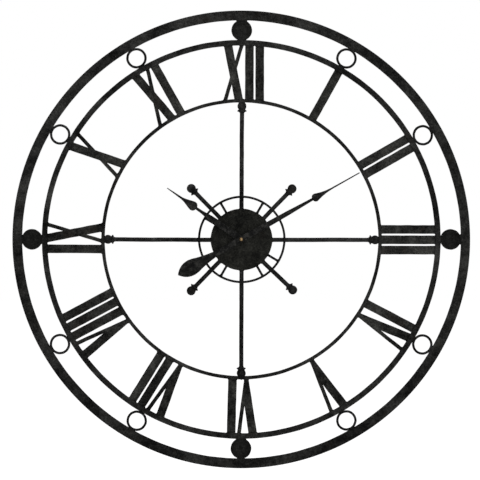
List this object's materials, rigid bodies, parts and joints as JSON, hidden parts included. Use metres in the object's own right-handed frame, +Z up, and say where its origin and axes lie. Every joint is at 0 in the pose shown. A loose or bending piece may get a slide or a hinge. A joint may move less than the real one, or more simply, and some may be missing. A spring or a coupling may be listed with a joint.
{
  "type": "wall clock",
  "caption": "Large round open-frame wall clock in black wrought iron, with Roman numeral plates between rings, ball-ended hub rods, slim hands and a quartz movement.",
  "frame": {"origin": "on the axis of the hands, in the plane of the wall", "axes": "+Z up (12 o'clock), +X to the viewer's right (3 o'clock), -Y out of the wall towards the viewer"},
  "size_m": [0.762, 0.0347, 0.762],
  "materials": {
    "black_iron": "hand-forged black iron, mottled satin wax over mill scale, edges rubbed a little paler",
    "black_hand": "thin sheet painted satin black",
    "black_nut": "blackened steel",
    "brass": "turned brass, slightly dull",
    "black_plastic": "moulded ABS with a fine spark texture",
    "white_nylon": "natural acetal, slightly translucent",
    "black_rubber": "matt rubber",
    "steel": "plain strip steel",
    "copper": "enamelled copper winding",
    "green_board": "green solder mask",
    "cell_sleeve": "plain printed sleeve in dark grey, no text"
  },
  "bodies": {
    "frame": {"outer_ring": "black_iron", "numeral_ring_outer": "black_iron", "numeral_ring_inner": "black_iron", "circle_ornament_01": "black_iron", "circle_ornament_02": "black_iron", "circle_ornament_04": "black_iron", "circle_ornament_05": "black_iron", "circle_ornament_07": "black_iron", "circle_ornament_08": "black_iron", "circle_ornament_10": "black_iron", "circle_ornament_11": "black_iron", "disc_ornament_03": "black_iron", "disc_ornament_06": "black_iron", "disc_ornament_09": "black_iron", "disc_ornament_12": "black_iron", "numeral_01": "black_iron", "numeral_02": "black_iron", "numeral_03": "black_iron", "numeral_04": "black_iron", "numeral_05": "black_iron", "numeral_06": "black_iron", "numeral_07": "black_iron", "numeral_08": "black_iron", "numeral_09": "black_iron", "numeral_10": "black_iron", "numeral_11": "black_iron", "numeral_12": "black_iron", "cross_rod_03": "black_iron", "cross_rod_06": "black_iron", "cross_rod_09": "black_iron", "cross_rod_12": "black_iron", "short_rod_upper_right": "black_iron", "short_rod_lower_right": "black_iron", "short_rod_lower_left": "black_iron", "short_rod_upper_left": "black_iron", "hub_disc": "black_iron", "hub_ring": "black_iron", "wall_hanger": "black_iron", "movement_case": "black_plastic", "movement_cover": "black_plastic", "threaded_bush": "brass", "fixing_nut": "black_nut", "rubber_washer": "black_rubber", "motor_stator": "steel", "motor_coil": "copper", "circuit_board": "green_board", "battery_contact_minus": "steel", "battery_contact_plus": "steel"},
    "minute_group": {"minute_wheel": "brass", "minute_hand": "black_hand", "minute_hand_nut": "brass"},
    "hour_group": {"hour_wheel": "white_nylon", "hour_hand": "black_hand"},
    "motion_arbor": {"motion_wheel": "white_nylon"},
    "setting_arbor": {"setting_knob": "black_plastic"},
    "third_arbor": {"third_wheel": "white_nylon"},
    "second_arbor": {"second_wheel": "white_nylon"},
    "intermediate_arbor": {"intermediate_wheel": "white_nylon"},
    "rotor_arbor": {"motor_rotor": "steel"},
    "cell": {"battery": "cell_sleeve"}
  },
  "joints": [
    {"name": "minute_hand_turn", "type": "hinge", "parent": "frame", "child": "minute_group", "pos_m": [0, 0, 0], "axis": [0, 1, 0], "continuous": true},
    {"name": "hour_hand_turn", "type": "hinge", "parent": "frame", "child": "hour_group", "pos_m": [0, 0, 0], "axis": [0, 1, 0], "continuous": true},
    {"name": "motion_wheel_turn", "type": "hinge", "parent": "frame", "child": "motion_arbor", "pos_m": [0.0045, 0, 0.00779], "axis": [0, 1, 0], "continuous": true},
    {"name": "setting_knob_turn", "type": "hinge", "parent": "frame", "child": "setting_arbor", "pos_m": [0.01031, 0, 0.01609], "axis": [0, 1, 0], "continuous": true},
    {"name": "third_wheel_turn", "type": "hinge", "parent": "frame", "child": "third_arbor", "pos_m": [-0.0045, 0, 0.00779], "axis": [0, 1, 0], "continuous": true},
    {"name": "second_wheel_turn", "type": "hinge", "parent": "frame", "child": "second_arbor", "pos_m": [0, 0, 0], "axis": [0, 1, 0], "continuous": true},
    {"name": "intermediate_wheel_turn", "type": "hinge", "parent": "frame", "child": "intermediate_arbor", "pos_m": [0.009, 0, 0], "axis": [0, 1, 0], "continuous": true},
    {"name": "motor_rotor_turn", "type": "hinge", "parent": "frame", "child": "rotor_arbor", "pos_m": [0.01748, 0, 0.003], "axis": [0, 1, 0], "continuous": true},
    {"name": "battery_removal", "type": "slide", "parent": "frame", "child": "cell", "axis": [0, 1, 0], "range_m": [0, 0.03]}
  ],
  "couplings": [
    {"joint": "hour_hand_turn", "follows": "minute_hand_turn", "ratio": 0.083333},
    {"joint": "motion_wheel_turn", "follows": "minute_hand_turn", "ratio": -0.33333},
    {"joint": "setting_knob_turn", "follows": "minute_hand_turn", "ratio": 0.66667},
    {"joint": "third_wheel_turn", "follows": "minute_hand_turn", "ratio": -8},
    {"joint": "second_wheel_turn", "follows": "minute_hand_turn", "ratio": 60},
    {"joint": "intermediate_wheel_turn", "follows": "minute_hand_turn", "ratio": -300},
    {"joint": "motor_rotor_turn", "follows": "minute_hand_turn", "ratio": 1800}
  ]
}
